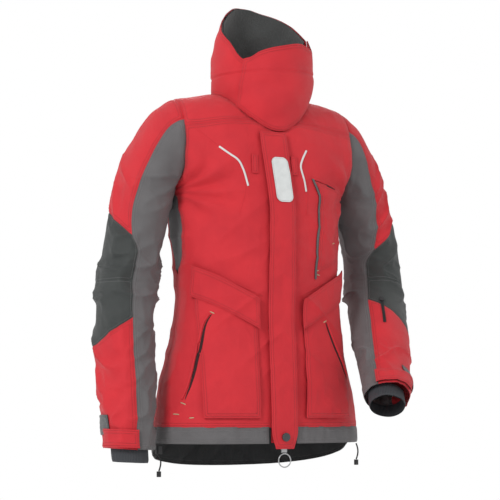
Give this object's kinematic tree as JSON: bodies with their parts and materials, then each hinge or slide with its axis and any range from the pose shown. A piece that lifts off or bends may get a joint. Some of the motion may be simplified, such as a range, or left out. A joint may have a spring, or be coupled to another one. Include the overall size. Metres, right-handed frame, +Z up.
{
  "type": "foul weather jacket",
  "caption": "Hip-length sailing jacket with a tall fleece-lined collar, storm flap, cargo pockets, reinforced elbows, adjustable cuffs and a drawcord hem.",
  "frame": {"origin": "base of the neck, level with the tops of the shoulders and on the jacket's centre plane", "axes": "+X to the wearer's left, -Y to the front, +Z up"},
  "size_m": [0.6849, 0.375, 0.9634],
  "materials": {
    "red_shell": "matt coated woven shell, red",
    "grey_shell": "matt coated woven shell, grey",
    "patch": "hard-wearing coated reinforcement, charcoal",
    "fleece": "short pile fleece, charcoal",
    "reflective": "retroreflective tape, silver white",
    "seal": "soft laminated neoprene",
    "steel": "plated zip metal",
    "snap": "dark enamelled snap cap",
    "black_trim": "black moulded and woven trim",
    "cord": "black elastic cord"
  },
  "bodies": {
    "body": {"right_front_panel": "red_shell", "left_front_panel": "red_shell", "back_panel": "red_shell", "right_side_panel": "grey_shell", "left_side_panel": "grey_shell", "right_shoulder_panel": "red_shell", "left_shoulder_panel": "red_shell", "right_shoulder_reflector": "reflective", "left_shoulder_reflector": "reflective", "right_hem_band": "grey_shell", "left_hem_band": "grey_shell", "back_tail": "grey_shell", "body_lining": "fleece", "collar_shell": "red_shell", "collar_lining": "fleece", "hanging_loop": "black_trim", "snap_stud": "steel", "right_zip_tape": "black_trim", "left_zip_tape": "black_trim", "inner_storm_flap": "red_shell", "right_cargo_pocket": "red_shell", "left_cargo_pocket": "red_shell", "chest_pocket": "red_shell", "chest_pocket_trim": "grey_shell", "right_chest_loop": "red_shell", "left_chest_loop": "red_shell", "right_cord_lock": "black_trim", "right_hem_cord": "cord", "right_cord_bead": "black_trim", "left_hem_cord": "cord", "left_cord_bead": "black_trim"},
    "front_flap": {"storm_flap": "red_shell", "front_reflector": "reflective", "snap_cap": "snap"},
    "collar_front": {"collar_flap": "red_shell"},
    "right_flap": {"right_pocket_flap": "red_shell"},
    "left_flap": {"left_pocket_flap": "red_shell"},
    "zip_slider": {"bottom_slider": "steel"},
    "pull_ring": {"ring_pull": "steel"},
    "sleeve_slider": {"sleeve_zip_slider": "black_trim"},
    "right_tab": {"right_cuff_tab": "red_shell"},
    "left_tab": {"left_cuff_tab": "red_shell"},
    "right_upper_arm": {"right_upper_sleeve": "red_shell", "right_underarm_panel": "grey_shell", "right_elbow_patch_upper": "patch"},
    "right_lower_arm": {"right_elbow_patch_lower": "patch", "right_forearm_panel": "red_shell", "right_forearm_inner_panel": "grey_shell", "right_cuff_hook_patch": "patch", "right_cuff_seal": "seal"},
    "left_upper_arm": {"left_upper_sleeve": "red_shell", "left_underarm_panel": "grey_shell", "left_elbow_patch_upper": "patch"},
    "left_lower_arm": {"left_elbow_patch_lower": "patch", "left_forearm_panel": "red_shell", "left_forearm_inner_panel": "grey_shell", "left_cuff_hook_patch": "patch", "left_cuff_seal": "seal", "sleeve_zip": "black_trim"}
  },
  "joints": [
    {"name": "storm_flap_hinge", "type": "hinge", "parent": "body", "child": "front_flap", "pos_m": [0.03, -0.14637, -0.4], "axis": [0, 0, 1], "range_deg": [0, 100]},
    {"name": "collar_flap_hinge", "type": "hinge", "parent": "body", "child": "collar_front", "pos_m": [0.10996, -0.03924, 0.03], "axis": [0, 0, 1], "range_deg": [0, 70]},
    {"name": "right_pocket_flap_hinge", "type": "hinge", "parent": "body", "child": "right_flap", "pos_m": [-0.12343, -0.11133, -0.36255], "axis": [-0.8, 0.4218, 0.4268], "range_deg": [0, 105]},
    {"name": "left_pocket_flap_hinge", "type": "hinge", "parent": "body", "child": "left_flap", "pos_m": [0.12343, -0.11133, -0.36255], "axis": [-0.8, -0.4218, -0.4268], "range_deg": [0, 105]},
    {"name": "bottom_slider_slide", "type": "slide", "parent": "body", "child": "zip_slider", "axis": [0, 0.0156, 0.9999], "range_m": [0, 0.055]},
    {"name": "ring_pull_hinge", "type": "hinge", "parent": "zip_slider", "child": "pull_ring", "pos_m": [0, -0.1412, -0.7092], "axis": [-1, 0, 0], "range_deg": [0, 75]},
    {"name": "right_shoulder_hinge", "type": "hinge", "parent": "body", "child": "right_upper_arm", "pos_m": [-0.1876, -0.01, -0.097], "axis": [-1, 0, 0], "range_deg": [-12, 45]},
    {"name": "left_shoulder_hinge", "type": "hinge", "parent": "body", "child": "left_upper_arm", "pos_m": [0.1876, -0.01, -0.097], "axis": [-1, 0, 0], "range_deg": [-2, 40]},
    {"name": "right_elbow_hinge", "type": "hinge", "parent": "right_upper_arm", "child": "right_lower_arm", "pos_m": [-0.2598, -0.01382, -0.37311], "axis": [-0.8602, -0.5001, -0.1], "range_deg": [-8, 32]},
    {"name": "left_elbow_hinge", "type": "hinge", "parent": "left_upper_arm", "child": "left_lower_arm", "pos_m": [0.29787, 0.0255, -0.38031], "axis": [-0.8602, 0.5001, -0.1], "range_deg": [-26, 10]},
    {"name": "right_cuff_tab_hinge", "type": "hinge", "parent": "right_lower_arm", "child": "right_tab", "pos_m": [-0.28464, -0.0931, -0.67883], "axis": [0.0219, 0.1454, 0.9891], "range_deg": [0, 80]},
    {"name": "left_cuff_tab_hinge", "type": "hinge", "parent": "left_lower_arm", "child": "left_tab", "pos_m": [0.15427, -0.22564, -0.55336], "axis": [-0.2891, -0.6835, -0.6703], "range_deg": [0, 80]},
    {"name": "sleeve_zip_slide", "type": "slide", "parent": "left_lower_arm", "child": "sleeve_slider", "axis": [-0.29, -0.6745, -0.6789], "range_m": [0, 0.045]}
  ]
}
